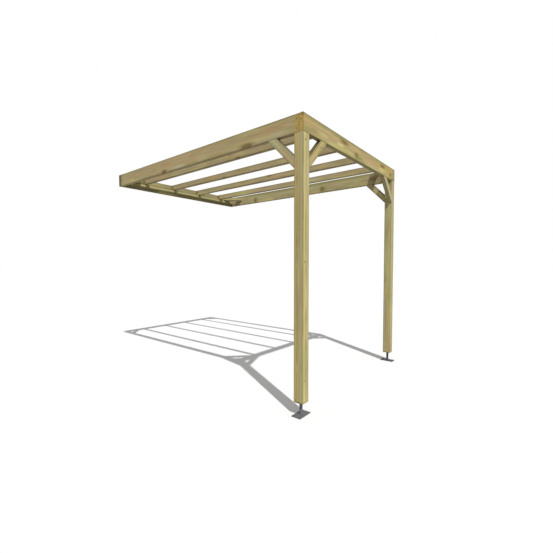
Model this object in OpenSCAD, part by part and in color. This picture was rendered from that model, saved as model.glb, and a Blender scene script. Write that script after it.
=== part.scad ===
// Lean-to pergola: a flat frame of timber beams and rafters, fixed to a house wall at the back and
// carried by two posts at the front. The origin is the middle of the wall plate's back face:
// +X runs to the right as one faces the wall, +Y into the wall, +Z up.

/* [Overall] */
// Width across the outer faces of the side beams
overall_width = 2075; // [1500:5:3600]
// Reach from the wall to the front face of the front beam
projection = 3000; // [1800:5:4200]
// Height from the ground to the top of the beams
overall_height = 2450; // [2100:5:3000]

/* [Beams] */
// Depth of the front beam, the side beams and the wall plate
beam_depth = 150; // [120:1:220]
// Thickness of the front beam, the side beams and the wall plate
beam_thickness = 40; // [34:1:60]

/* [Posts] */
// Width of the square posts
post_width = 90; // [80:1:120]
// Radius of the posts' eased edges
post_ease = 5; // [2:0.5:8]
// Distance from the top of the beams down to the top of the post inside them
post_drop = 10; // [0:1:40]

/* [Rafters] */
// Depth of the rafters
rafter_depth = 75; // [60:1:90]
// Thickness of the rafters
rafter_thickness = 40; // [34:1:60]

/* [Ledgers] */
// Height of the ledgers that the rafters stand on
ledger_height = 38; // [25:1:60]
// Thickness of the ledgers
ledger_thickness = 50; // [30:1:70]

/* [Braces] */
// Width of the knee braces and corner braces
brace_width = 70; // [45:1:90]
// Thickness of the knee braces and corner braces
brace_thickness = 45; // [34:1:60]
// Reach of a brace along each of the two timbers that it joins
brace_leg = 276; // [200:1:400]

/* [Feet] */
// Clear height between the ground and the bottom of the posts
foot_height = 110; // [60:1:200]
// Long side of a base plate
plate_length = 155; // [120:1:200]
// Short side of a base plate
plate_width = 88; // [80:1:110]
// Thickness of a base plate
plate_thickness = 6; // [4:0.5:12]
// Diameter of the stem between plate and post
stem_diameter = 27; // [16:0.5:34]
// Depth of the stem in the post
stem_seat = 120; // [60:5:200]
// Diameter of the four holes in a base plate
hole_diameter = 12; // [8:0.5:14]
// Distance from the middle of a hole to the two nearest edges of the plate
hole_edge = 20; // [14:1:24]

/* [Finish and fits] */
// Radius of the eased edges of all timbers but the posts
timber_ease = 3; // [1:0.5:5]
// Gap round the stem in the post's bore
stem_clearance = 0.5; // [0.2:0.1:1]
// Gap between the tip of a corner brace and the first rafter
rafter_gap = 10; // [1:1:40]

/* [Hidden] */
$fn = 64;

rafter_count = 4;
// How far a cut reaches past the faces that it opens
cut_past = 1;

// Levels
beam_top = beam_depth / 2;
beam_bottom = -beam_depth / 2;
ground = beam_top - overall_height;
post_bottom = ground + foot_height;
rafter_bottom = beam_top - rafter_depth;

// Places across and along
half_width = overall_width / 2;
front = -projection;
frame_back = -beam_thickness;
frame_front = front + beam_thickness;
frame_length = frame_back - frame_front;
inner_half_width = half_width - beam_thickness;
post_middle_x = half_width - post_width / 2;
post_middle_y = front + post_width / 2;
first_rafter = inner_half_width - brace_leg - rafter_gap - rafter_thickness / 2;

// Colours
sunny_timber = "#c2b066";
shaded_timber = "#a8945e";
dark_steel = "#3d4245";

// Rectangle with round corners, one corner of its outline at the origin
module eased_rectangle(width, height, ease) {
    translate([ease, 0]) square([width - 2 * ease, height]);
    translate([0, ease]) square([width, height - 2 * ease]);
    for (x = [ease, width - ease], y = [ease, height - ease])
        translate([x, y]) circle(r = ease);
}

// Timber along +X with its lowest corner at the origin
module timber_x(length, thickness, depth) {
    rotate([90, 0, 90]) linear_extrude(length) eased_rectangle(thickness, depth, timber_ease);
}

// Timber along +Y with its lowest corner at the origin
module timber_y(length, thickness, depth) {
    translate([thickness, 0, 0]) rotate([0, 0, 90]) timber_x(length, thickness, depth);
}

// Copies its children as they are for side -1, or mirrored to the right for side 1
module on_side(side) {
    mirror([side > 0 ? 1 : 0, 0, 0]) children();
}

// Brace across the corner between +X and +Y, mitred against both, lying on z = 0
module brace() {
    middle = brace_leg - brace_width / sqrt(2);
    intersection() {
        cube([brace_leg, brace_leg, brace_thickness]);
        translate([middle, 0, 0])
            rotate([0, 0, 135])
                translate([-brace_width, -brace_width / 2, 0])
                    timber_x(brace_leg * sqrt(2) + brace_width, brace_width, brace_thickness);
    }
}

module wall_plate() {
    color(shaded_timber)
        translate([-half_width, frame_back, beam_bottom]) timber_x(overall_width, beam_thickness, beam_depth);
}

module front_beam() {
    color(sunny_timber)
        translate([-half_width, front, beam_bottom]) timber_x(overall_width, beam_thickness, beam_depth);
}

module side_beam(side) {
    color(shaded_timber)
        on_side(side)
            translate([-half_width, frame_front, beam_bottom])
                timber_y(frame_length, beam_thickness, beam_depth);
}

module wall_ledger() {
    color(sunny_timber)
        translate([-inner_half_width, frame_back - ledger_thickness, rafter_bottom - ledger_height])
            timber_x(2 * inner_half_width, ledger_thickness, ledger_height);
}

// Runs between the tops of the two posts
module front_ledger() {
    length = overall_width - 2 * post_width;
    color(shaded_timber)
        translate([-length / 2, frame_front, rafter_bottom - ledger_height])
            timber_x(length, ledger_thickness, ledger_height);
}

// Rafters are numbered from the left, and the first and last stand beside the corner braces
module rafter(number) {
    middle = -first_rafter + 2 * first_rafter * (number - 1) / (rafter_count - 1);
    color(shaded_timber)
        translate([middle - rafter_thickness / 2, frame_front, rafter_bottom])
            timber_y(frame_length, rafter_thickness, rafter_depth);
}

// The beams stand on the post's shoulders, and its inner quarter goes on up between them
module post(side) {
    color(sunny_timber)
        on_side(side)
            translate([-half_width, front, 0])
                difference() {
                    translate([0, 0, post_bottom])
                        linear_extrude(beam_top - post_drop - post_bottom)
                            eased_rectangle(post_width, post_width, post_ease);
                    translate([-cut_past, -cut_past, beam_bottom])
                        cube([post_width + 2 * cut_past, beam_thickness + cut_past, beam_depth]);
                    translate([-cut_past, -cut_past, beam_bottom])
                        cube([beam_thickness + cut_past, post_width + 2 * cut_past, beam_depth]);
                    translate([post_width / 2, post_width / 2, post_bottom - cut_past])
                        cylinder(h = stem_seat + cut_past, d = stem_diameter + 2 * stem_clearance);
                }
}

// Under a side beam, from the back of the post, flush with the outer faces
module knee_brace_side(side) {
    color(shaded_timber)
        on_side(side)
            translate([-half_width, front + post_width, beam_bottom])
                rotate([-90, 0, -90]) mirror([1, 0, 0]) brace();
}

// Under the front beam, from the inner side of the post, flush with the front faces
module knee_brace_front(side) {
    color(sunny_timber)
        on_side(side)
            translate([-half_width + post_width, front, beam_bottom])
                rotate([-90, 0, 0]) brace();
}

// Lies flat on a ledger, level with the rafters' undersides
module corner_brace(side, end) {
    color(shaded_timber)
        on_side(side)
            translate([-inner_half_width, end > 0 ? frame_back : frame_front, rafter_bottom])
                mirror([0, end > 0 ? 1 : 0, 0]) brace();
}

module foot_stem(side) {
    color(dark_steel)
        translate([side * post_middle_x, post_middle_y, ground + plate_thickness])
            cylinder(h = foot_height - plate_thickness + stem_seat, d = stem_diameter);
}

// The left plate lies along the front beam, the right plate a quarter turn round
module base_plate(side) {
    hole_x = plate_length / 2 - hole_edge;
    hole_y = plate_width / 2 - hole_edge;
    color(dark_steel)
        translate([side * post_middle_x, post_middle_y, ground])
            rotate([0, 0, side > 0 ? 90 : 0])
                difference() {
                    translate([-plate_length / 2, -plate_width / 2, 0])
                        cube([plate_length, plate_width, plate_thickness]);
                    for (x = [-hole_x, hole_x], y = [-hole_y, hole_y])
                        translate([x, y, -cut_past])
                            cylinder(h = plate_thickness + 2 * cut_past, d = hole_diameter);
                }
}

wall_plate();
front_beam();
side_beam(-1);  // side_beam_left
side_beam(1);  // side_beam_right
wall_ledger();
front_ledger();
rafter(1);  // rafter_1
rafter(2);  // rafter_2
rafter(3);  // rafter_3
rafter(4);  // rafter_4
post(-1);  // post_left
post(1);  // post_right
knee_brace_side(-1);  // knee_brace_left_side
knee_brace_front(-1);  // knee_brace_left_front
knee_brace_side(1);  // knee_brace_right_side
knee_brace_front(1);  // knee_brace_right_front
corner_brace(-1, -1);  // corner_brace_front_left
corner_brace(1, -1);  // corner_brace_front_right
corner_brace(-1, 1);  // corner_brace_back_left
corner_brace(1, 1);  // corner_brace_back_right
foot_stem(-1);  // foot_stem_left
foot_stem(1);  // foot_stem_right
base_plate(-1);  // base_plate_left
base_plate(1);  // base_plate_right
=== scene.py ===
import math

import bmesh
import bpy
from mathutils import Matrix, Vector


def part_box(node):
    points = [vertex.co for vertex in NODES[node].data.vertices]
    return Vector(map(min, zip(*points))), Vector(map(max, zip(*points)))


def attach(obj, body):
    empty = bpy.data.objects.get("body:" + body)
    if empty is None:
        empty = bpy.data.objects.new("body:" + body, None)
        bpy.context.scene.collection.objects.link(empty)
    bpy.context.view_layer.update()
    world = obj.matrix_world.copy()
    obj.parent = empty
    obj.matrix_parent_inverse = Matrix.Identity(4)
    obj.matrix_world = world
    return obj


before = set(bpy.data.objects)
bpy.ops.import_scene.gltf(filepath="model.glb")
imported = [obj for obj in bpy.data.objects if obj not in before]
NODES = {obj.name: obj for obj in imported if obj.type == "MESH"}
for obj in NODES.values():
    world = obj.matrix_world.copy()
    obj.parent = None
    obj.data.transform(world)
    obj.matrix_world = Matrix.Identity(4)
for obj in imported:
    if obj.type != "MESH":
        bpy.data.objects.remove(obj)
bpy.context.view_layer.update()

X, Y, Z = Vector((1, 0, 0)), Vector((0, 1, 0)), Vector((0, 0, 1))

# Places worked out from the frame
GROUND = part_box("base_plate_left")[0].z
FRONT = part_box("front_beam")[0].y
HALF_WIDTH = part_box("front_beam")[1].x
SIDE_BEAM_FRONT, SIDE_BEAM_BACK = [corner.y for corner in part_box("side_beam_left")]

# Screws, in metres: from the front end of a side beam, and up or down from its middle; and in a front knee
# brace, aside from the middle of the object, and up from the middle of the beams
SCREW_INSET, SCREW_LEVEL = 0.025, 0.038
BRACE_SCREW_ASIDE, BRACE_SCREW_UP = 0.773, -0.134

# Weld: how far its ripples stand out, as a share of its radius, and the points round it
WELD_RIPPLE, WELD_POINTS = 0.012, 96

# Wood: sizes in metres first, and then how strongly each feature shows, from 0 to 1
RING_SPACING = 0.0048
KNOT_SWIRL = 0.012
CRACK_HALF_WIDTH = 0.0018
END_EASE = 0.0015
STREAK_GREEN = 0.75
HEART_BROWN = 0.6
END_YELLOW = 0.85
LATE_WOOD_DARK = 0.16
LINE_DARK = 0.16
KNOT_DARK = 0.75
SMEAR_DARK = 0.6
SCREW_STAIN = 0.2

# Sun: its strength, its width in degrees, and the way that its light goes
SUN_ENERGY = 3.75
SUN_DEGREES = 0.8
SUN_DIRECTION = (0.514, 1, -1.576)

# World and floor: how bright they are for the light that falls on things, and as the camera sees them
WORLD_LIGHT, WORLD_SEEN = 0.54, 1.0
FLOOR_LIGHT, FLOOR_SEEN = (0.24, 0.24, 0.24, 1), (0.68, 0.68, 0.68, 1)
WHITE = (1, 1, 1, 1)
FLOOR_HALF = 60

# Camera: its place from the beams' front left corner and the ground, in metres, and its turns in degrees
CAMERA_LEFT, CAMERA_FORWARD, CAMERA_UP = 2.181, 1.475, 1.255
CAMERA_DIP, CAMERA_TURN = 2.23, 51.34
SENSOR_WIDTH, LENS = 36, 21.39


def colour(red, green, blue):
    """Linear RGBA of a screen colour given as 0 to 255."""
    def linear(value):
        value /= 255
        return value / 12.92 if value <= 0.04045 else ((value + 0.055) / 1.055) ** 2.4
    return (linear(red), linear(green), linear(blue), 1)


# Timber colours
SAPWOOD = colour(184, 174, 122)
PALE = colour(184, 175, 131)
BROWNISH = colour(184, 164, 116)
AMBER = colour(185, 166, 108)
HEARTWOOD = colour(182, 160, 116)
STRAW = colour(204, 192, 128)
YELLOW = colour(206, 194, 122)
OLIVE = colour(150, 144, 88)
DULL = colour(150, 143, 104)
MOSS = colour(138, 140, 86)
GOLD = colour(190, 164, 88)
TAN = colour(196, 164, 114)
PINK = colour(188, 168, 124)
FADED = colour(182, 165, 125)
ASH = colour(196, 190, 158)
KNOT_RIM = colour(84, 64, 34)
KNOT_MIDDLE = colour(120, 90, 46)
KNOT_SMEAR = colour(120, 100, 46)
KNOT_HALO = colour(146, 128, 68)
END_GRAIN = colour(200, 166, 82)
CHECK = colour(66, 54, 34)
# Painted shade on timber ends, at the wall and at the posts' feet
PAINTED_END_SHADE = colour(88, 80, 42)

# The knot of each rafter as (along, u, v), and its patches, all on its left face, as (along, v, half length,
# half width, colour, strength)
RAFTER_MARKS = (
    ((-0.44, -0.02, -0.030), [
        (1.00, 0.0, 0.16, 0.024, TAN, 0.6), (0.40, 0.0, 0.34, 0.034, FADED, 0.85),
        (-0.28, 0.0, 0.08, 0.022, GOLD, 0.5), (-0.49, 0.0, 0.09, 0.024, YELLOW, 0.35)]),
    ((0.28, -0.02, -0.030), [
        (1.26, 0.024, 0.14, 0.014, OLIVE, 0.5), (0.52, 0.0, 0.13, 0.026, TAN, 0.8),
        (0.20, -0.010, 0.14, 0.020, FADED, 0.6), (-0.04, 0.016, 0.14, 0.020, OLIVE, 0.45),
        (-0.72, 0.0, 0.11, 0.024, STRAW, 0.35)]),
    ((-0.11, -0.02, 0.027), [
        (1.20, 0.014, 0.12, 0.026, MOSS, 0.5), (0.96, 0.0, 0.22, 0.034, DULL, 0.25),
        (0.33, 0.0, 0.20, 0.026, YELLOW, 0.30), (0.36, 0.010, 0.16, 0.024, OLIVE, 0.4),
        (0.0, 0.0, 2.0, 0.060, DULL, 0.15),
        (-0.30, 0.0, 0.20, 0.034, HEARTWOOD, 0.7), (-0.44, -0.010, 0.10, 0.018, TAN, 0.6),
        (-0.96, 0.0, 0.08, 0.020, TAN, 0.5), (-1.20, 0.0, 0.12, 0.026, OLIVE, 0.3)]),
    ((0.70, 0.02, -0.010), [
        (1.22, -0.006, 0.09, 0.020, ASH, 0.35), (0.98, 0.0, 0.14, 0.028, OLIVE, 0.35),
        (0.52, 0.018, 0.08, 0.014, TAN, 0.6), (0.36, 0.020, 0.08, 0.014, OLIVE, 0.4),
        (-0.03, 0.0, 0.14, 0.026, OLIVE, 0.3), (-0.55, 0.0, 0.13, 0.028, ASH, 0.4),
        (-0.99, 0.010, 0.12, 0.022, OLIVE, 0.3)]))

# Steel colours
# The far, right foot's colours are darker: painted shade on its stem and plate.
STEM_COATS_FAR_SHADED = {"left": colour(106, 109, 112), "right": colour(74, 77, 79)}
PLATE_COATS_FAR_SHADED = {"left": colour(78, 81, 83), "right": colour(62, 65, 67)}
DUST = colour(112, 112, 110)
SCREW = colour(124, 114, 84)


class Tree:
    """The node tree of a material or world, with a short call for each kind of node."""

    def __init__(self, owner):
        owner.use_nodes = True
        self.owner = owner
        self.nodes, self.links = owner.node_tree.nodes, owner.node_tree.links
        self.nodes.clear()

    def fill(self, socket, value):
        """Links a socket to an input, or sets the input to a constant."""
        if isinstance(value, bpy.types.NodeSocket):
            self.links.new(value, socket)
        else:
            socket.default_value = value

    def add(self, kind, inputs, **settings):
        """A node with its settings, and its inputs by name or number."""
        node = self.nodes.new(kind)
        for name, value in settings.items():
            setattr(node, name, value)
        for key, value in inputs.items():
            self.fill(node.inputs[key], value)
        return node

    def math(self, operation, *values):
        """A number worked out from other numbers."""
        return self.add("ShaderNodeMath", dict(enumerate(values)), operation=operation).outputs[0]

    def vector(self, operation, *values):
        """A vector worked out from other vectors, or a number where the operation gives one."""
        node = self.add("ShaderNodeVectorMath", dict(enumerate(values)), operation=operation)
        return node.outputs["Value" if operation in ("DOT_PRODUCT", "LENGTH", "DISTANCE") else "Vector"]

    def scaled(self, vector, factor):
        """A vector or colour times a factor."""
        if not isinstance(vector, bpy.types.NodeSocket):
            vector = vector[:3]
        node = self.add("ShaderNodeVectorMath", {"Vector": vector, "Scale": factor}, operation="SCALE")
        return node.outputs["Vector"]

    def combine(self, x, y, z):
        """The vector of three numbers."""
        return self.add("ShaderNodeCombineXYZ", {"X": x, "Y": y, "Z": z}).outputs[0]

    def separate(self, vector):
        """The three numbers of a vector, as X, Y and Z."""
        return self.add("ShaderNodeSeparateXYZ", {"Vector": vector}).outputs

    def step(self, value, low, high):
        """0 below low, 1 above high, and smooth between; high may be the lower one."""
        inputs = {"Value": value, "From Min": low, "From Max": high}
        return self.add("ShaderNodeMapRange", inputs, interpolation_type="SMOOTHSTEP").outputs[0]

    def around(self, value, amount):
        """A value from 0 to 1, turned into one from minus half to plus half of the amount."""
        return self.math("MULTIPLY_ADD", value, amount, -amount / 2)

    def noise(self, vector, detail=2.0, roughness=0.5):
        """Noise about 0.5 with features of about 1, and the same as a vector."""
        inputs = {"Vector": vector, "Scale": 1.0, "Detail": detail, "Roughness": roughness}
        node = self.add("ShaderNodeTexNoise", inputs)
        return node.outputs["Fac"], node.outputs["Color"]

    def mix(self, factor, first, second):
        """The first colour at factor 0, and the second at factor 1."""
        return self.add("ShaderNodeMix", {0: factor, 6: first, 7: second}, data_type="RGBA").outputs[2]

    def darken(self, tone, mask, amount):
        """A colour, darker by that amount where the mask is 1."""
        return self.scaled(tone, self.math("MULTIPLY_ADD", mask, -amount, 1.0))

    def highest(self, values):
        """The highest of a list of values, or 0 where there are none."""
        top = 0.0
        for value in values:
            top = self.math("MAXIMUM", top, value)
        return top

    def seen(self):
        """1 for what the camera sees, straight, mirrored or through glass, and 0 for light on things."""
        path = self.add("ShaderNodeLightPath", {}).outputs
        return self.highest([path["Is Camera Ray"], path["Is Glossy Ray"], path["Is Transmission Ray"]])

    def emboss(self, surface, height, distance, strength):
        """Gives the surface a relief."""
        inputs = {"Height": height, "Distance": distance, "Strength": strength}
        self.fill(surface.inputs["Normal"], self.add("ShaderNodeBump", inputs).outputs[0])

    def finish(self, surface, output="ShaderNodeOutputMaterial"):
        """Puts the surface on the output, and returns the material or world."""
        self.add(output, {"Surface": surface.outputs[0]})
        return self.owner


def upwards(direction):
    """The direction or its opposite, whichever points up, back or to the right."""
    for part in reversed(direction):
        if abs(part) > 1e-6:
            return direction if part > 0 else -direction


def span(node, direction):
    """Middle and half size of a CAD node in a direction."""
    places = [vertex.co.dot(direction) for vertex in NODES[node].data.vertices]
    return (max(places) + min(places)) / 2, (max(places) - min(places)) / 2


class Timber(Tree):
    """Planed, pressure-treated softwood of one timber, in metres from the timber's middle.

    Places are (along, u, v): u is level across the timber, and v is the other way across. The pith is the
    heart of the tree that the timber was sawn from, as (u, v).
    """

    def __init__(self, node, along, seed, pith):
        super().__init__(bpy.data.materials.new(node + "_timber"))
        self.seed, self.pith = seed, pith
        self.along = along.normalized()
        across_u = X if self.along.z > 0.9 else upwards(Z.cross(self.along).normalized())
        axes = (self.along, across_u, upwards(self.along.cross(across_u)))
        spans = [span(node, axis) for axis in axes]
        self.half = [half for middle, half in spans]
        source = self.add("ShaderNodeTexCoord", {}).outputs
        self.normal = source["Normal"]
        self.place = self.combine(*[
            self.math("SUBTRACT", self.vector("DOT_PRODUCT", source["Object"], axis), middle)
            for axis, (middle, half) in zip(axes, spans)])
        wander = self.vector("MULTIPLY_ADD", self.grain(1.1, 4.0)[1], (0, 0.05, 0.05), (0, -0.025, -0.025))
        self.section = self.vector("ADD", self.vector("MULTIPLY", self.place, (0, 1, 1)), wander)
        self.fibres = self.grain(6, 280, 3.0, 0.6)[0]
        self.streaks = self.grain(1.1, 46, 3.0, 0.6, 3)[0]
        self.blotches = self.grain(2.4, 15, 3.0, 0.55, 9)[0]
        lengthwise = self.math("ABSOLUTE", self.vector("DOT_PRODUCT", self.normal, self.along))
        self.end = self.step(lengthwise, 0.75, 0.9)

    def grain(self, along, across, detail=2.0, roughness=0.5, shift=0.0):
        """Noise along the grain, as a value and as a vector, from its features per metre."""
        scale, start = (along, across, across), (3.7 * self.seed + shift, 0, 0)
        return self.noise(self.vector("MULTIPLY_ADD", self.place, scale, start), detail, roughness)

    def knot_distance(self, knots):
        """Distance from the nearest knot's axis in radii of that knot, each knot from its place on a face."""
        nearest = self.math("ADD", 9.0, 0.0)
        for at, u, v, size, stretch in knots:
            out = Vector((0, u - self.pith[0], v - self.pith[1]))
            start = (-at / stretch, -self.pith[0], -self.pith[1])
            place = self.vector("MULTIPLY_ADD", self.place, (1 / stretch, 1, 1), start)
            depth = self.vector("DOT_PRODUCT", place, out.normalized())
            off = self.vector("DISTANCE", place, self.scaled(out.normalized(), depth))
            radius = self.math("MULTIPLY", self.math("MAXIMUM", depth, 0.001), size / out.length)
            nearest = self.math("MINIMUM", nearest, self.math("DIVIDE", off, radius))
        return nearest

    def rings(self, knot):
        """Dark late wood of each growth ring, and the slow and the quick change from ring to ring."""
        swirl = self.math("MULTIPLY", self.step(knot, 3.2, 0.9), KNOT_SWIRL)
        radius = self.math("ADD", self.vector("DISTANCE", self.section, (0, *self.pith)), swirl)
        phase = self.math("FRACT", self.math("DIVIDE", radius, RING_SPACING))
        late = self.math("MULTIPLY", self.step(phase, 0.2, 0.8), self.step(phase, 1.0, 0.9))
        changes = [self.noise(self.combine(self.math("MULTIPLY_ADD", radius, often, self.seed), 0.0, 0.0))[0]
                   for often in (42.0, 150.0)]
        return late, *changes

    def patch(self, at, u, v, half_length, half_width, strength):
        """A ragged patch along the grain, at its full strength in the middle."""
        size = (1 / half_length, 1 / half_width, 1 / half_width)
        off = self.vector("MULTIPLY", self.vector("SUBTRACT", self.place, (at, u, v)), size)
        ragged = self.math("ADD", self.vector("LENGTH", off), self.around(self.blotches, 1.6))
        return self.math("MULTIPLY", self.step(ragged, 1.25, 0.35), strength)

    def arris(self):
        """1 on the timber's edges and 0 from some millimetres in, the mask of the painted edge shade."""
        inset = self.separate(self.vector("SUBTRACT", self.half, self.vector("ABSOLUTE", self.place)))
        near, far = (self.math(kind, inset["Y"], inset["Z"]) for kind in ("MINIMUM", "MAXIMUM"))
        edge = self.math("MAXIMUM", near, self.math("MINIMUM", far, inset["X"]))
        ragged = self.around(self.grain(9, 90, shift=5)[0], 0.012)
        return self.step(self.math("ADD", edge, ragged), 0.015, 0.001)

    def cracks(self, checks):
        """Drying checks that run with the grain, each as (u, v, place along, half length)."""
        length = self.separate(self.place)["X"]
        found = []
        for u, v, at, half_length in checks:
            off = self.vector("DISTANCE", self.section, (0, u, v))
            along = self.math("ABSOLUTE", self.math("SUBTRACT", length, at))
            width = self.math("MULTIPLY", self.step(along, half_length, half_length * 0.4), CRACK_HALF_WIDTH)
            found.append(self.math("LESS_THAN", off, width))
        return self.highest(found)

    def stain(self, places):
        """Dark ring round each screw."""
        return self.highest([
            self.step(self.vector("DISTANCE", self.place, place), 0.013, 0.005) for place in places])

    def treated(self, base, hearts, patches):
        """Colour of sapwood, heartwood, the treatment's uneven green, sawn ends and patches."""
        clouds = self.grain(1.6, 7, 2.0, 0.5, 17)[0]
        tone = self.mix(self.step(self.blotches, 0.48, 0.68), base, HEARTWOOD)
        tone = self.mix(self.step(clouds, 0.52, 0.72), tone, STRAW)
        tone = self.mix(self.math("MULTIPLY", self.step(self.streaks, 0.50, 0.70), STREAK_GREEN), tone, OLIVE)
        for u, v, size in hearts:
            near = self.step(self.vector("DISTANCE", self.section, (0, u, v)), size * 1.4, size * 0.6)
            tone = self.mix(self.math("MULTIPLY", near, HEART_BROWN), tone, HEARTWOOD)
        tone = self.mix(self.math("MULTIPLY", self.end, END_YELLOW), tone, END_GRAIN)
        for *shape, patch_colour, strength in patches:
            tone = self.mix(self.patch(*shape, strength), tone, patch_colour)
        return tone

    def grained(self, tone, rings, shade):
        """The colour with its rings, streaks, fibres and fine dark lines, all times the shade."""
        late, wide, fine = rings
        light = self.math("MULTIPLY_ADD", late, -LATE_WOOD_DARK * shade, 1.04 * shade)
        for value, strength in ((wide, 0.8), (fine, 0.45), (self.streaks, 0.5), (self.fibres, 0.35)):
            light = self.math("MULTIPLY", light, self.math("MULTIPLY_ADD", value, strength, 1 - strength / 2))
        lines = self.step(self.math("ABSOLUTE", self.math("SUBTRACT", self.streaks, 0.47)), 0.012, 0.0)
        light = self.math("MULTIPLY", light, self.math("MULTIPLY_ADD", lines, -LINE_DARK, 1.0))
        return self.scaled(tone, light)

    def painted_shade_on_edges_and_tops(self, tone, edges, top_shade):
        """The colour with painted shade on the long edges and on faces that look up."""
        arris = self.math("MULTIPLY", self.arris(), self.math("MULTIPLY_ADD", self.end, -0.8, 1.0))
        up = self.step(self.vector("DOT_PRODUCT", self.normal, Z), 0.35, 0.68)
        return self.darken(self.darken(tone, arris, edges), up, top_shade)

    def knotted(self, tone, knot, knotty):
        """The colour with its knots: brown in the middle, a dark rim, and a darker green round them."""
        ragged = self.math("ADD", knot, self.around(self.grain(40, 70)[0], 0.6))
        tone = self.mix(self.math("MULTIPLY", self.step(knot, 2.8, 0.8), SMEAR_DARK), tone, KNOT_SMEAR)
        knot_rings = self.math("PINGPONG", self.math("MULTIPLY", ragged, 3.0), 1.0)
        knot_tone = self.mix(self.math("MULTIPLY", knot_rings, 0.35), KNOT_MIDDLE, KNOT_RIM)
        knot_tone = self.mix(self.step(ragged, 0.65, 1.0), knot_tone, KNOT_RIM)
        inside = self.math("MULTIPLY", self.step(ragged, 1.3, 0.9), KNOT_DARK * knotty)
        return self.mix(inside, tone, knot_tone)


def dress(node, material):
    """Gives a CAD node its material."""
    NODES[node].data.materials.clear()
    NODES[node].data.materials.append(material)


def timber(node, along, seed, pith, base=SAPWOOD, shade=1.0, hearts=(), knots=(), knotty=1.0, patches=(),
           checks=(), screws=(), top_shade=0.25, edges=0.34):
    """Gives one timber its material.

    hearts are (u, v, radius), knots (along, u, v, radius, stretch along the grain), patches (along, u, v,
    half length, half width, colour, strength), and screws (along, u, v). knotty is how dark the knots are,
    and weather and edges are how much painted shade darkens what faces up and the timber's long edges.
    """
    wood = Timber(node, along, seed, pith)
    knot = wood.knot_distance(knots)
    rings = wood.rings(knot)
    tone = wood.grained(wood.treated(base, hearts, patches), rings, shade)
    tone = wood.knotted(wood.painted_shade_on_edges_and_tops(tone, edges, top_shade), knot, knotty)
    crack = wood.cracks(checks)
    dark = wood.math("MAXIMUM", crack, wood.math("MULTIPLY", wood.stain(screws), SCREW_STAIN))
    surface = wood.add("ShaderNodeBsdfPrincipled", {
        "Base Color": wood.mix(dark, tone, CHECK), "Specular IOR Level": 0.25,
        "Roughness": wood.math("MULTIPLY_ADD", wood.fibres, 0.2, 0.62)})
    height = wood.math("MULTIPLY_ADD", rings[0], 0.25, wood.math("MULTIPLY", wood.fibres, 0.5))
    wood.emboss(surface, wood.math("MULTIPLY_ADD", crack, -2.0, height), 0.0004, 0.6)
    dress(node, wood.finish(surface))


def steel(name, base, roughness, dusty):
    """Coated steel with a faint orange-peel surface, under that much dust where it faces up."""
    tree = Tree(bpy.data.materials.new(name))
    source = tree.add("ShaderNodeTexCoord", {}).outputs
    peel = tree.noise(tree.scaled(source["Object"], 900.0))[0]
    clouds = tree.noise(tree.scaled(source["Object"], 40.0), 4.0, 0.6)[0]
    up = tree.step(tree.vector("DOT_PRODUCT", source["Normal"], Z), 0.2, 0.9)
    dust = tree.math("MULTIPLY", tree.math("MULTIPLY", up, tree.step(clouds, 0.25, 0.65)), dusty)
    tone = tree.scaled(base, tree.math("MULTIPLY_ADD", clouds, 0.7, 0.65))
    surface = tree.add("ShaderNodeBsdfPrincipled", {
        "Base Color": tree.mix(dust, tone, DUST), "Specular IOR Level": 0.25,
        "Roughness": tree.math("MULTIPLY_ADD", clouds, 0.3, roughness - 0.15)})
    tree.emboss(surface, peel, 0.0002, 0.4)
    return tree.finish(surface)


def beam_screws(face):
    """Places of the two screws in a side beam, with its outer face at that u."""
    along = SCREW_INSET - (SIDE_BEAM_BACK - SIDE_BEAM_FRONT) / 2
    return [(along, face, level) for level in (SCREW_LEVEL, -SCREW_LEVEL)]


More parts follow.
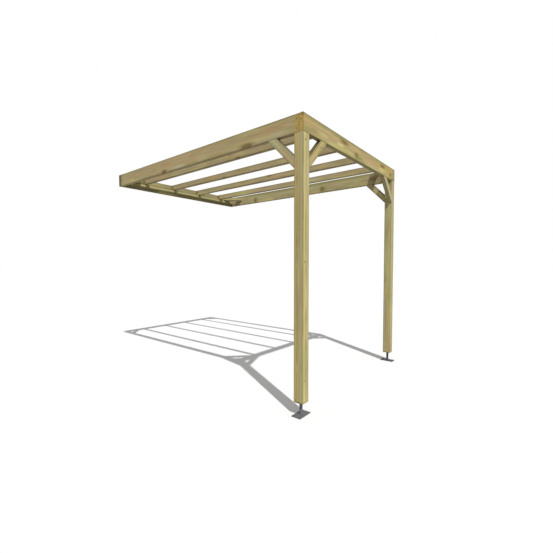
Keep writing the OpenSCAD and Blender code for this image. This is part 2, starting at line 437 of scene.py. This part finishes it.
def dress_beams():
    """Wood of the four deep beams round the roof."""
    timber(
        "front_beam", X, 1, (0.001, 0.027), AMBER, 0.92, hearts=[(-0.02, 0.02, 0.03)],
        knots=[(-0.335, -0.02, 0.030, 0.011, 4.0), (-0.066, -0.02, -0.016, 0.008, 2.6),
               (0.052, -0.02, 0.065, 0.005, 2.0), (0.620, -0.02, 0.025, 0.011, 3.0),
               (0.888, -0.02, -0.016, 0.006, 3.0)], knotty=0.55,
        patches=[(0.0, -0.02, 0.080, 4.0, 0.034, OLIVE, 0.8), (0.0, -0.02, -0.080, 4.0, 0.020, MOSS, 0.6),
                 (-0.978, -0.02, -0.046, 0.07, 0.03, MOSS, 0.7),
                 (-0.884, -0.02, -0.032, 0.08, 0.03, MOSS, 0.5),
                 (-0.430, -0.02, 0.048, 0.15, 0.03, OLIVE, 1.0),
                 (-0.092, -0.02, -0.018, 0.06, 0.024, MOSS, 0.9),
                 (0.020, -0.02, -0.038, 0.08, 0.026, MOSS, 0.9),
                 (-0.520, -0.02, 0.005, 0.10, 0.020, TAN, 0.7),
                 (-0.060, -0.02, 0.035, 0.10, 0.024, TAN, 0.7),
                 (0.270, -0.02, -0.020, 0.20, 0.026, TAN, 0.8),
                 (0.600, -0.02, 0.020, 0.16, 0.034, GOLD, 0.7),
                 (0.880, -0.02, 0.0, 0.20, 0.09, GOLD, 0.8), (0.990, -0.02, -0.02, 0.08, 0.09, DULL, 0.8),
                 (-0.345, -0.02, 0.032, 0.07, 0.024, KNOT_HALO, 0.7),
                 (0.635, -0.02, 0.028, 0.07, 0.024, KNOT_HALO, 0.8),
                 (0.888, -0.02, -0.014, 0.07, 0.024, KNOT_HALO, 0.6),
                 (-0.420, -0.02, -0.010, 0.08, 0.014, STRAW, 0.9),
                 (0.600, -0.02, -0.028, 0.12, 0.022, STRAW, 0.9),
                 (0.640, -0.02, -0.002, 0.14, 0.012, STRAW, 0.6),
                 (-0.720, -0.02, -0.018, 0.10, 0.030, STRAW, 0.5),
                 (0.340, -0.02, 0.006, 0.20, 0.018, TAN, 0.6),
                 (0.340, -0.02, -0.048, 0.22, 0.018, PALE, 0.5),
                 (0.070, -0.02, -0.050, 0.08, 0.020, MOSS, 0.4),
                 (0.980, -0.02, -0.050, 0.08, 0.024, MOSS, 0.7),
                 (0.000, -0.02, 0.004, 0.14, 0.020, GOLD, 0.35),
                 (0.680, -0.02, 0.000, 0.08, 0.020, GOLD, 0.4),
                 (-0.980, -0.02, 0.000, 0.07, 0.120, GOLD, 0.3),
                 (-1.0375, -0.01, 0.066, 0.02, 0.020, KNOT_SMEAR, 0.5),
                 (-1.0375, 0.004, 0.027, 0.02, 0.012, KNOT_SMEAR, 0.5)])
    # The wall plate's two ends are darkened as painted shade.
    timber(
        "wall_plate", X, 2, (-0.06, -0.08), DULL, 0.93, knots=[(0.35, -0.02, 0.02, 0.011, 1.5)],
        patches=[(sign * HALF_WIDTH, 0.0, 0.0, 0.02, 0.12, PAINTED_END_SHADE, 1.0) for sign in (-1, 1)])
    timber(
        "side_beam_left", Y, 3, (0.06, 0.02), BROWNISH,
        knots=[(-0.887, -0.02, -0.058, 0.012, 4.5), (0.430, -0.02, -0.060, 0.012, 2.6)], knotty=0.85,
        patches=[(0.0, -0.02, 0.010, 3.0, 0.050, PINK, 0.75), (0.0, -0.02, 0.080, 4.0, 0.022, MOSS, 0.5),
                 (-1.45, -0.02, 0.010, 0.05, 0.12, GOLD, 0.8), (-1.22, -0.02, -0.050, 0.20, 0.03, PALE, 0.6),
                 (-0.45, -0.02, -0.06, 0.2, 0.024, OLIVE, 0.3), (0.80, -0.02, -0.064, 0.25, 0.022, MOSS, 0.3),
                 (0.13, -0.02, -0.056, 0.10, 0.02, PALE, 0.9), (-0.25, -0.02, -0.056, 0.09, 0.018, PALE, 0.7),
                 (-1.17, -0.02, 0.010, 0.16, 0.035, TAN, 0.6), (0.37, -0.02, 0.015, 0.12, 0.025, TAN, 0.5),
                 # The patch at 1.46 along, by the wall, is painted shade.
                 (1.00, -0.02, 0.010, 0.08, 0.020, TAN, 0.5), (1.46, -0.02, 0.0, 0.06, 0.1, PAINTED_END_SHADE, 0.45),
                 (1.00, -0.02, 0.050, 0.38, 0.018, DULL, 0.4), (1.30, -0.02, -0.045, 0.16, 0.025, DULL, 0.4),
                 (1.27, -0.02, -0.050, 0.14, 0.02, HEARTWOOD, 0.6),
                 (0.34, -0.02, 0.0, 0.30, 0.020, STRAW, 0.2), (0.34, -0.02, 0.0, 0.30, 0.020, TAN, 0.3),
                 (-1.08, -0.02, -0.004, 0.30, 0.022, PALE, 0.4), (-1.02, -0.02, 0.0, 0.34, 0.022, TAN, 0.5),
                 (0.15, -0.02, -0.056, 0.12, 0.016, ASH, 0.4), (-1.00, -0.02, -0.058, 0.32, 0.014, ASH, 0.3),
                 (-1.25, -0.02, -0.040, 0.10, 0.024, ASH, 0.25)],
        screws=beam_screws(-0.02))
    timber(
        "side_beam_right", Y, 4, (0.07, -0.05), PALE, 0.95,
        knots=[(-0.456, -0.02, -0.030, 0.020, 0.9), (0.865, -0.02, -0.030, 0.018, 0.9)], knotty=0.5,
        patches=[(0.0, -0.02, 0.060, 2.0, 0.03, OLIVE, 0.7), (-0.47, -0.02, -0.03, 0.07, 0.05, MOSS, 0.9),
                 (0.85, -0.02, -0.03, 0.05, 0.05, MOSS, 0.8), (0.0, -0.02, -0.04, 2.0, 0.04, PINK, 0.35)],
        screws=beam_screws(0.02))


def dress_ledgers_and_rafters():
    """Wood of the two ledgers, and of the rafters with their marks."""
    # The wall ledger's long edges get stronger painted shade.
    timber("wall_ledger", X, 5, (0.03, 0.04), shade=0.96, edges=0.6)
    timber("front_ledger", X, 6, (0.03, -0.04), BROWNISH)
    for number, (knot, marks) in enumerate(RAFTER_MARKS, 1):
        node = f"rafter_{number}"
        patches = [(at, -0.02, v, *rest) for at, v, *rest in marks]
        # Each rafter's first patch is painted shade at its wall end, and its long edges get stronger painted
        # shade.
        timber(
            node, Y, 6 + number, (0.03, 0.05 - 0.03 * number), FADED, 0.98,
            knots=[(*knot, 0.006, 4.0)], knotty=0.5,
            patches=[(1.46, -0.02, 0.0, 0.06, 0.06, KNOT_SMEAR, 0.7), *patches], edges=0.46)


def dress_posts():
    """Wood of the two posts."""
    timber(
        "post_left", Z, 12, (0.01, 0.015), edges=0.30, knotty=0.85,
        knots=[(0.968, -0.0125, -0.045, 0.005, 1.2), (-0.979, -0.008, -0.045, 0.004, 1.5),
               (-0.004, -0.020, -0.045, 0.004, 1.3), (-0.008, 0.018, -0.045, 0.0035, 1.3)],
        patches=[(0.0, -0.045, 0.026, 3.0, 0.018, GOLD, 0.5), (0.0, -0.045, -0.004, 3.0, 0.014, PINK, 0.9),
                 (0.0, -0.045, -0.034, 3.0, 0.015, SAPWOOD, 0.8),
                 (0.0, -0.022, -0.045, 3.0, 0.011, YELLOW, 0.8), (0.0, 0.036, -0.045, 3.0, 0.012, PALE, 0.7),
                 (0.156, -0.045, 0.012, 0.06, 0.012, KNOT_SMEAR, 0.35),
                 (0.35, -0.045, 0.0, 0.30, 0.03, OLIVE, 0.35), (-0.27, 0.0, -0.045, 0.15, 0.05, PALE, 0.6),
                 (0.25, 0.005, -0.045, 0.22, 0.035, OLIVE, 0.4), (0.80, 0.03, -0.045, 0.30, 0.02, PALE, 0.5),
                 (-0.76, -0.005, -0.045, 0.2, 0.035, OLIVE, 0.4), (0.73, 0.026, -0.045, 0.16, 0.02, ASH, 0.5),
                 (-0.31, -0.01, -0.045, 0.20, 0.03, STRAW, 0.5), (-0.22, -0.045, 0.0, 0.22, 0.03, STRAW, 0.3),
                 (-0.96, -0.028, -0.045, 0.10, 0.014, OLIVE, 0.3),
                 # The last two patches are painted shade along the post's foot.
                 (-1.167, -0.045, 0.0, 0.012, 0.04, PAINTED_END_SHADE, 0.9),
                 (-1.167, 0.0, -0.045, 0.010, 0.03, PAINTED_END_SHADE, 0.4)],
        checks=[(-0.045, 0.012, -0.2, 0.5)])
    timber(
        "post_right", Z, 13, (-0.01, 0.01), PALE, 0.97, edges=0.26,
        patches=[(0.0, -0.045, -0.02, 3.0, 0.02, STRAW, 0.6), (0.2, -0.045, 0.02, 1.2, 0.02, OLIVE, 0.15),
                 (-0.85, -0.045, 0.0, 0.35, 0.03, PINK, 0.7), (0.0, -0.025, -0.045, 3.0, 0.014, YELLOW, 0.4),
                 (0.0, -0.045, 0.04, 3.0, 0.014, OLIVE, 0.2), (-0.5, -0.045, -0.035, 0.7, 0.015, YELLOW, 0.5),
                 (0.0, 0.01, -0.045, 3.0, 0.04, DULL, 0.25), (-0.46, 0.0, -0.045, 0.15, 0.04, DULL, 0.35),
                 (0.33, 0.02, -0.045, 0.15, 0.02, OLIVE, 0.35), (0.02, -0.045, 0.02, 0.18, 0.022, STRAW, 0.4),
                 (-0.42, -0.045, -0.02, 0.20, 0.020, OLIVE, 0.2),
                 # The last patch is painted shade along the post's foot.
                 (-1.167, -0.045, 0.0, 0.012, 0.06, PAINTED_END_SHADE, 0.8)],
        checks=[(-0.045, -0.01, 0.3, 0.4)])


def dress_braces():
    """Wood of the eight braces, each from a log of its own."""
    for side, sign, seed, base in (("left", 1, 24, AMBER), ("right", -1, 28, PALE)):
        # The braces' faces that look up get strong painted shade.
        timber(f"knee_brace_{side}_side", Y + Z, seed, (0.04, 0.05), PALE, 1.03, top_shade=0.8, edges=0.3)
        timber(
            f"knee_brace_{side}_front", sign * X + Z, seed + 1, (0.05, -0.04), base, 0.98,
            screws=[(0.082, -0.0225, 0.0)], top_shade=0.72, edges=0.3)
        timber(f"corner_brace_front_{side}", X - sign * Y, seed + 2, (0.04, 0.04), BROWNISH, 0.90)
        timber(f"corner_brace_back_{side}", X + sign * Y, seed + 3, (-0.05, 0.03), SAPWOOD, 0.80)


def make_feet():
    """Coats and weld of each foot, the far one's in painted shade, with dust on the near plate only."""
    for side, dusty in (("left", 0.3), ("right", 0.0)):
        stem_coat = steel(f"stem_coat_{side}", STEM_COATS_FAR_SHADED[side], 0.45, 0.0)
        plate_coat = steel(f"plate_coat_{side}", PLATE_COATS_FAR_SHADED[side], 0.55, dusty)
        dress(f"foot_stem_{side}", stem_coat)
        dress(f"base_plate_{side}", plate_coat)
        make_weld(side, plate_coat)


def circle(radius, height, lobes=0.0, points=48):
    """Points round +Z, with six lobes of that depth."""
    turns = [2 * math.pi * number / points for number in range(points)]
    return [Vector((math.cos(turn), math.sin(turn), 0)) * (radius + lobes * math.cos(6 * turn)) + height * Z
            for turn in turns]


def skin(name, rings, closed, place, material):
    """A mesh through rings of points, joined from last to first where closed, and else capped."""
    shape = bmesh.new()
    made = [[shape.verts.new(place @ point) for point in ring] for ring in rings]
    for ring, following in zip(made, made[1:] + made[:1] if closed else made[1:]):
        for number in range(len(ring)):
            after = (number + 1) % len(ring)
            shape.faces.new((ring[number], ring[after], following[after], following[number]))
    if not closed:
        shape.faces.new(list(reversed(made[0])))
        shape.faces.new(made[-1])
    bmesh.ops.recalc_face_normals(shape, faces=shape.faces)
    mesh = bpy.data.meshes.new(name)
    shape.to_mesh(mesh)
    shape.free()
    mesh.materials.append(material)
    piece = bpy.data.objects.new(name, mesh)
    bpy.context.scene.collection.objects.link(piece)
    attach(piece, "root")


def screw(name, place, facing, material):
    """Head of a timber screw: a low dome with a six-lobe recess."""
    rings = [circle(0.0055, -0.0006), circle(0.0056, 0.0003), circle(0.0050, 0.0010), circle(0.0038, 0.0014),
             circle(0.0026, 0.0015, 0.00035), circle(0.0024, 0.0002, 0.00030), circle(0.0008, 0.0001)]
    turn = facing.to_track_quat("Z", "Y").to_matrix().to_4x4()
    skin(name, rings, False, Matrix.Translation(place) @ turn, material)


def make_screws(material):
    """Two from the outer face of each side beam into the post, and one in each front knee brace."""
    for name, sign in (("left", -1), ("right", 1)):
        for level, height in (("upper", SCREW_LEVEL), ("lower", -SCREW_LEVEL)):
            place = Vector((sign * HALF_WIDTH, SIDE_BEAM_FRONT + SCREW_INSET, height))
            screw(f"screw_{name}_{level}", place, sign * X, material)
        place = Vector((sign * BRACE_SCREW_ASIDE, FRONT, BRACE_SCREW_UP))
        screw(f"screw_{name}_brace", place, -Y, material)


def make_weld(side, material):
    """Rippled fillet weld round the foot of a stem, its profile as (out from the stem, up from the plate)."""
    low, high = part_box(f"foot_stem_{side}")
    radius = (high.x - low.x) / 2
    profile = [(-0.0004, 0.0048), (0.0012, 0.0044), (0.0030, 0.0026), (0.0046, 0.0010), (0.0052, -0.0004),
               (-0.0004, -0.0004)]
    rings = []
    for out, height in profile:
        ripple = 1 + WELD_RIPPLE if out > 0 else 1
        rings.append([Vector((point.x, point.y, 0)) * (ripple if number % 4 < 2 else 1) + point.z * Z
                      for number, point in enumerate(circle(radius + out, height, points=WELD_POINTS))])
    place = Matrix.Translation(Vector(((low.x + high.x) / 2, (low.y + high.y) / 2, low.z)))
    skin(f"weld_{side}", rings, True, place, material)


def ease_ends():
    """Softens the sharp edges at the timbers' sawn ends."""
    for name, node in NODES.items():
        if not name.startswith(("foot_stem", "base_plate")):
            bevel = node.modifiers.new("eased_ends", "BEVEL")
            bevel.width, bevel.segments = END_EASE, 2
            bevel.limit_method, bevel.angle_limit = "ANGLE", math.radians(50)


def make_floor():
    """Pale floor that the camera sees as white and that throws little light back up."""
    mesh = bpy.data.meshes.new("floor")
    corners = [(x * FLOOR_HALF, y * FLOOR_HALF, GROUND) for x, y in ((-1, -1), (1, -1), (1, 1), (-1, 1))]
    mesh.from_pydata(corners, [], [(0, 1, 2, 3)])
    floor = bpy.data.objects.new("floor", mesh)
    bpy.context.scene.collection.objects.link(floor)
    tree = Tree(bpy.data.materials.new("floor"))
    tone = tree.mix(tree.seen(), FLOOR_LIGHT, FLOOR_SEEN)
    mesh.materials.append(tree.finish(tree.add("ShaderNodeBsdfDiffuse", {"Color": tone})))


def make_sun():
    """A sun from the front left, whose shadows have a slightly soft edge."""
    sun = bpy.data.lights.new("sun", "SUN")
    sun.energy = SUN_ENERGY
    sun.angle = math.radians(SUN_DEGREES)
    lamp = bpy.data.objects.new("sun", sun)
    lamp.rotation_euler = Vector(SUN_DIRECTION).to_track_quat("-Z", "Y").to_euler()
    bpy.context.scene.collection.objects.link(lamp)


def make_world():
    """Even light from all round, behind which the camera sees white."""
    tree = Tree(bpy.data.worlds.new("studio"))
    inputs = {"Value": tree.seen(), "To Min": WORLD_LIGHT, "To Max": WORLD_SEEN}
    strength = tree.add("ShaderNodeMapRange", inputs)
    light = tree.add("ShaderNodeBackground", {"Color": WHITE, "Strength": strength.outputs[0]})
    bpy.context.scene.world = tree.finish(light, "ShaderNodeOutputWorld")


def make_camera():
    """Left of the pergola and a little in front of it, at half its height, looking across it."""
    camera = bpy.data.cameras.new("camera")
    camera.sensor_width, camera.lens = SENSOR_WIDTH, LENS
    view = bpy.data.objects.new("camera", camera)
    view.location = (-HALF_WIDTH - CAMERA_LEFT, FRONT - CAMERA_FORWARD, GROUND + CAMERA_UP)
    view.rotation_euler = (math.radians(90 - CAMERA_DIP), 0, math.radians(-CAMERA_TURN))
    bpy.context.scene.collection.objects.link(view)
    bpy.context.scene.camera = view


dress_beams()
dress_ledgers_and_rafters()
dress_posts()
dress_braces()
make_feet()
make_screws(steel("screw_coat", SCREW, 0.45, 0.0))
ease_ends()
make_floor()
make_sun()
make_world()
make_camera()
bpy.context.scene.view_settings.view_transform = "Standard"
